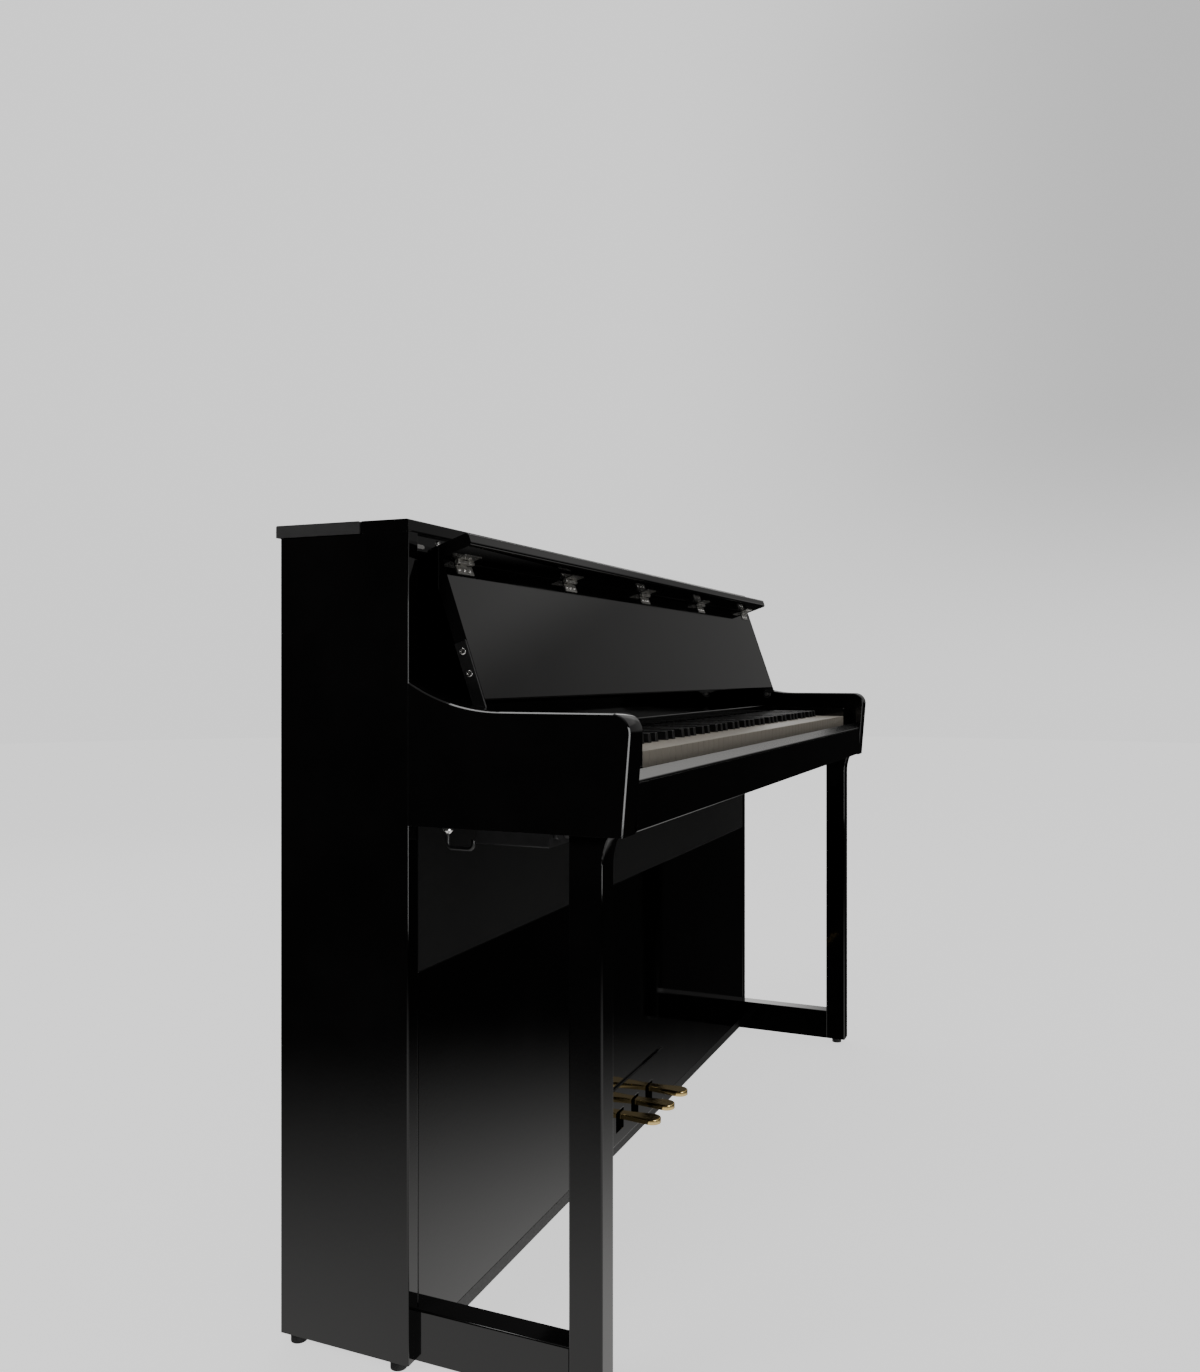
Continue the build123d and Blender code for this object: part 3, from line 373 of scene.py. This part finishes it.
def wood_grain(name, dark, light):
    """Bare wood with its grain along X."""
    mat, tree, bsdf = new_material(name)
    grain = noise(tree, 16.0, 8.0, (1, 14, 14), 0.6)
    tree.links.new(ramp(tree, grain, dark, light), bsdf.inputs["Base Color"])
    tree.links.new(map_range(tree, grain, (0.3, 0.7), (0.5, 0.65)), bsdf.inputs["Roughness"])
    bump(tree, bsdf, grain, 0.0002, 0.4)
    return mat


def felt(name, dark, light):
    """Wool felt with a fuzzy sheen."""
    mat, tree, bsdf = new_material(name)
    fibre = noise(tree, 900.0, 6.0, rough=0.75)
    tree.links.new(ramp(tree, fibre, dark, light), bsdf.inputs["Base Color"])
    bsdf.inputs["Roughness"].default_value = 0.95
    bsdf.inputs["Sheen Weight"].default_value = 0.6
    bump(tree, bsdf, fibre, 0.0006, 0.7)
    return mat


def moulded(name, tone, rough=(0.42, 0.58)):
    """Spark-textured plastic or rubber."""
    mat, tree, bsdf = new_material(name)
    spark = add(tree, "ShaderNodeTexVoronoi", {"Scale": 1400.0})
    tree.links.new(place(tree), spark.inputs["Vector"])
    tree.links.new(map_range(tree, noise(tree, 80.0), (0.3, 0.7), rough), bsdf.inputs["Roughness"])
    lighter = tuple(c * 1.5 for c in tone)
    tree.links.new(ramp(tree, noise(tree, 25.0), tone, lighter), bsdf.inputs["Base Color"])
    bump(tree, bsdf, spark.outputs["Distance"], 0.0001, 0.4)
    return mat


def circuit():
    """Solder mask with a faint pattern of tracks."""
    mat, tree, bsdf = new_material("circuit")
    look = {"Scale": 90.0, "Mortar Size": 0.06, "Color1": (0.01, 0.09, 0.04, 1),
            "Color2": (0.012, 0.11, 0.05, 1), "Mortar": (0.03, 0.2, 0.1, 1)}
    tracks = add(tree, "ShaderNodeTexBrick", look)
    tree.links.new(place(tree), tracks.inputs["Vector"])
    tree.links.new(tracks.outputs["Color"], bsdf.inputs["Base Color"])
    bsdf.inputs["Roughness"].default_value = 0.35
    return mat


def make_materials():
    return {
        "case_gloss": lacquer(),
        # A lighter copy of the case's satin black: the raised tone is painted light on the rear lid.
        "lid_board_painted_light": satin_black("lid_satin_painted_light", 0.034, (0.30, 0.42)),
        "case_satin": satin_black("case_satin"),
        "grille_cloth": speaker_cloth(),
        # The aluminium's colour is darkened to 0.30, well below bare aluminium: painted shade that keeps the trim
        # dim.
        "trim_aluminium": brushed("trim_aluminium", (0.30, 0.30, 0.295), (0.18, 0.26)),
        "steel": brushed("steel_nickel", (0.60, 0.59, 0.56), (0.25, 0.42), (1, 30, 30), 60.0),
        "screw_chrome": brushed("screw_bright", (0.80, 0.79, 0.77), (0.16, 0.28), (1, 1, 1), 400.0),
        "rubber_black": moulded("rubber_black", (0.012, 0.012, 0.012), (0.6, 0.8)),
        # The ivory cover's colour is darkened to a grey beige: painted shade that keeps the keys dim, where white
        # acrylic would be far lighter.
        "key_ivory": key_material("key_ivory", (0.44, 0.40, 0.34), (0.30, 0.34), False),
        "key_ebony": key_material("key_ebony", (0.010, 0.010, 0.010), (0.26, 0.40), True),
        "frame_spruce": wood_grain("frame_spruce", (0.45, 0.30, 0.16), (0.70, 0.52, 0.32)),
        "felt": felt("felt_red", (0.10, 0.008, 0.010), (0.22, 0.02, 0.022)),
        "circuit": circuit(),
        "speaker": moulded("speaker_black", (0.02, 0.02, 0.02)),
        "pedal_brass": brushed("pedal_brass", (0.80, 0.60, 0.27), (0.08, 0.2), (20, 1, 20), 30.0),
        "moulded_black": moulded("moulded_black", (0.014, 0.014, 0.015)),
        "plate_dark": brushed("plate_black_zinc", (0.13, 0.13, 0.13), (0.34, 0.46), (1, 30, 30), 60.0),
        "screw_dark": brushed("screw_black_zinc", (0.06, 0.06, 0.06), (0.34, 0.48), (1, 1, 1), 300.0),
    }


def dress_frame(materials):
    """Every CAD node gets its slot's material and a small rounding on its sharp edges."""
    slots = {s["node"]: s["material_slot"] for s in frame["record"]["subparts"]}
    for name, obj in frame["nodes"].items():
        kind = FINISH.get(name, slots[name])
        obj.data.materials.clear()
        obj.data.materials.append(materials[kind])
        round_edges(obj, EDGE_WIDTH.get(kind, OTHER_EDGES))


def round_edges(obj, width):
    weld = obj.modifiers.new("weld", "WELD")
    weld.merge_threshold = 0.000005
    bevel = obj.modifiers.new("rounding", "BEVEL")
    bevel.width = width
    bevel.segments = 3
    bevel.limit_method = "ANGLE"
    bevel.angle_limit = math.radians(40)
    bevel.use_clamp_overlap = True
    bevel.harden_normals = True


# ================= added hardware =================

def ring_of(bm, centre, axis, level, radii):
    """Vertices round an axis, one for each radius, at a level along it."""
    turn = axis.to_track_quat("Z", "Y").to_matrix()
    points = []
    for i, radius in enumerate(radii):
        angle = 2 * math.pi * i / len(radii)
        points.append(centre + turn @ Vector((radius * math.cos(angle), radius * math.sin(angle), level)))
    return [bm.verts.new(point) for point in points]


def skin(bm, rings):
    """Faces between each ring and the next."""
    count = len(rings[0])
    for near, far in zip(rings, rings[1:]):
        for i in range(count):
            j = (i + 1) % count
            bm.faces.new((near[i], near[j], far[j], far[i]))


def cap(bm, rings):
    """Close the first and the last ring."""
    bm.faces.new(list(reversed(rings[0])))
    bm.faces.new(rings[-1])


def cross_radii(arm, width, count):
    """Distances from the middle to the outline of a cross recess."""
    radii = []
    for i in range(count):
        angle = 2 * math.pi * i / count
        c, s = abs(math.cos(angle)) + 1e-9, abs(math.sin(angle)) + 1e-9
        radii.append(max(min(arm / c, width / s), min(arm / s, width / c)))
    return radii


def screw_into(bm, where, out, radius, height):
    """A domed screw head with a cross recess, built as rings about its axis."""
    count = 32
    arm, width, recess_floor = radius * 0.58, radius * 0.15, height * 0.2
    dome = ((1.0, 0.0), (0.97, 0.45), (0.86, 0.8), (0.66, 1.0))
    rings = [ring_of(bm, where, out, height * rise, [radius * share] * count) for share, rise in dome]
    rings.append(ring_of(bm, where, out, height, cross_radii(arm, width, count)))
    rings.append(ring_of(bm, where, out, recess_floor, cross_radii(arm * 0.8, width * 0.8, count)))
    skin(bm, rings)
    cap(bm, rings)


def prism(bm, outline, depth):
    """An outline carried along a vector and closed at both ends."""
    front = [bm.verts.new(point) for point in outline]
    back = [bm.verts.new(point + depth) for point in outline]
    skin(bm, [front, back])
    cap(bm, [front, back])


def mesh_object(name, bm, mat, body, smooth=30):
    """A finished piece that rides on a body; edges under smooth degrees shade as curved."""
    mesh = bpy.data.meshes.new(name)
    bmesh.ops.recalc_face_normals(bm, faces=bm.faces)
    bm.to_mesh(mesh)
    bm.free()
    mesh.materials.append(mat)
    obj = bpy.data.objects.new(name, mesh)
    bpy.context.scene.collection.objects.link(obj)
    mesh.shade_smooth()
    mesh.set_sharp_from_angle(angle=math.radians(smooth))
    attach(obj, body)
    return obj


def screws(name, spots, out, head, mat, body):
    """One piece for a run of alike screws; head is their radius and height."""
    bm = bmesh.new()
    for where in spots:
        screw_into(bm, where, out, *head)
    return mesh_object(name, bm, mat, body)


def fall_point(x, along, out):
    """A point on the open fallboard: distance along it from the pivot, and out of its inner face."""
    pivot = Vector(JOINTS["fallboard_swing"]["pos_m"])
    return pivot + Vector((x, 0, 0)) + along * FALL_ALONG + out * FALL_OUT


def even_steps(start, end, count):
    return [start + (end - start) * i / (count - 1) for i in range(count)]


def lip_hinge_centres():
    low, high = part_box("lip_hinge_board_leaves")
    return even_steps(low.x + LIP_HINGE_WIDTH / 2, high.x - LIP_HINGE_WIDTH / 2, LIP_HINGES)


def add_hinge_screws(materials):
    """Three screws in each leaf of the lip's hinges."""
    hinge = Vector(JOINTS["lip_fold"]["pos_m"])
    bright = materials["screw_chrome"]
    across = [Vector((c + d * LEAF_SCREW_SPREAD, 0, 0)) for c in lip_hinge_centres() for d in (-1, 0, 1)]
    on_board = hinge - FALL_ALONG * LEAF_SCREW_REACH - FALL_OUT * LEAF_TOP
    on_lip = hinge + FALL_OUT * LEAF_SCREW_REACH + FALL_ALONG * (LEAF_TOP + SUNK)
    screws("lip_hinge_board_screws", [on_board + x for x in across], FALL_OUT, LEAF_SCREW, bright,
           "fallboard")
    screws("lip_hinge_lip_screws", [on_lip + x for x in across], -FALL_ALONG, LEAF_SCREW, bright,
           "fallboard_lip")


def add_plate_screws(materials):
    """Two cross-headed screws in each end plate, in place of the plain ones."""
    low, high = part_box("fallboard_end_plates")
    for side, x, out in (("bass", low.x, Vector((-1, 0, 0))), ("treble", high.x, Vector((1, 0, 0)))):
        spots = [fall_point(x, along, PLATE_MIDDLE) for along in PLATE_SCREWS]
        made = screws(f"end_plate_screws_{side}", spots, out, PLATE_SCREW, materials["screw_chrome"],
                      "fallboard")
        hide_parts("fallboard_plate_screws")


def add_back_screws(materials):
    """Screws round the edge of the back panel."""
    low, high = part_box("back_panel")
    edge = 11 * MM
    xs = even_steps(low.x + edge, high.x - edge, 9)
    zs = even_steps(low.z + edge, high.z - edge, 7)
    spots = [Vector((x, high.y, z)) for x in xs for z in (zs[0], zs[-1])]
    spots += [Vector((x, high.y, z)) for x in (xs[0], xs[-1]) for z in zs[1:-1]]
    screws("back_panel_screws", spots, Vector((0, 1, 0)), BACK_SCREW, materials["screw_dark"], "cabinet")


def add_panel_catches(materials):
    """A bright catch and a screw that hold each upper corner of the upper front panel."""
    low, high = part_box("upper_front_panel")
    gap, base = 0.3 * MM, 18 * MM
    screw_in, screw_down = 59 * MM, 6.5 * MM
    thick = Vector((0, 1.2 * MM, 0))
    tongue = [(0, 1.5), (22, 1.5), (25, 2.3), (26, 4), (25, 5.7), (22, 6.5), (0, 6.5)]
    for side, edge, inward in (("bass", low.x, 1), ("treble", high.x, -1)):
        bm = bmesh.new()
        corner = Vector((edge + inward * gap, low.y, high.z - base)) - thick
        prism(bm, [corner + Vector((inward * across, 0, up)) * MM for across, up in tongue], thick)
        bmesh.ops.bevel(bm, geom=bm.edges[:], offset=0.25 * MM, segments=2, affect="EDGES")
        mesh_object(f"panel_catch_{side}", bm, materials["screw_chrome"], "cabinet")
        spot = Vector((edge + inward * screw_in, low.y, high.z - screw_down))
        screws(f"panel_screw_{side}", [spot], Vector((0, -1, 0)), PANEL_SCREW, materials["screw_chrome"],
               "cabinet")


def turned(bm, centre, axis, profile):
    """A turned shell round an axis from (radius, level) pairs in millimetres."""
    skin(bm, [ring_of(bm, centre, axis, level * MM, [radius * MM] * 32) for radius, level in profile])


def add_sockets(materials):
    """A bright ferrule round each headphone socket and a collar on the headphone hook."""
    bright = materials["screw_chrome"]
    bm = bmesh.new()
    for mount in frame["record"]["mounts"]:
        if "headphone" in mount["name"]:
            turned(bm, Vector(mount["pos_m"]), Vector((0, -1, 0)),
                   [(3.35, -6), (3.35, 1.0), (4.2, 1.5), (5.6, 1.3), (6.0, 0.6), (6.0, -0.4)])
    mesh_object("headphone_ferrules", bm, bright, "cabinet")
    low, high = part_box("headphone_hook")
    stem_setback, plate_thick = 9 * MM, 3 * MM
    stem = Vector(((low.x + high.x) / 2, high.y - stem_setback, high.z - plate_thick))
    bm = bmesh.new()
    turned(bm, stem, Vector((0, 0, -1)),
           [(2.55, 0), (6.2, 0.1), (6.2, 2.2), (4.4, 4.6), (3.2, 6.0), (2.55, 6.4)])
    mesh_object("headphone_hook_collar", bm, bright, "cabinet")


def add_volume_knob(materials):
    """Fluted knob with a pointer line, in place of the plain one."""
    low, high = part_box("volume_knob")
    radius = (high.x - low.x) / 2
    centre = Vector(((low.x + high.x) / 2, low.y, (low.z + high.z) / 2))
    count, flutes, flute_depth = 96, 16, 0.045
    profile = [(0.0, 0.0), (0.62, 0.0), (0.78, 0.4), (0.93, 1.6), (0.97, 4.0), (1.0, 11.0), (0.0, 11.0)]
    bm = bmesh.new()
    rings = []
    for share, level in profile:
        ring = []
        for i in range(count):
            angle = 2 * math.pi * i / count
            groove = flute_depth * (0.5 + 0.5 * math.cos(flutes * angle)) if share > 0.9 else 0.0
            reach = radius * max(share * (1 - groove), 0.001)
            ring.append(bm.verts.new(centre + Vector((reach * math.cos(angle), level * MM,
                                                      reach * math.sin(angle)))))
        rings.append(ring)
    skin(bm, rings)
    cap(bm, rings)
    knob = mesh_object("volume_knob_fluted", bm, materials["moulded_black"], "volume_knob",
                       smooth=35)
    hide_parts("volume_knob")
    bm = bmesh.new()
    size = Vector((1.0 * MM, 0.5 * MM, 4.6 * MM))
    middle = centre + Vector((0, 0.1 * MM, 4.4 * MM))
    bmesh.ops.create_cube(bm, size=1.0, matrix=Matrix.Translation(middle) @ Matrix.Diagonal((*size, 1)))
    bmesh.ops.bevel(bm, geom=bm.edges[:], offset=0.15 * MM, segments=2, affect="EDGES")
    mesh_object("volume_knob_pointer", bm, materials["key_ivory"], "volume_knob")


def build():
    make_camera()
    world_light()
    make_stage()
    make_lights()
    materials = make_materials()
    dress_frame(materials)
    add_hinge_screws(materials)
    add_plate_screws(materials)
    add_back_screws(materials)
    add_panel_catches(materials)
    add_sockets(materials)
    add_volume_knob(materials)


build()
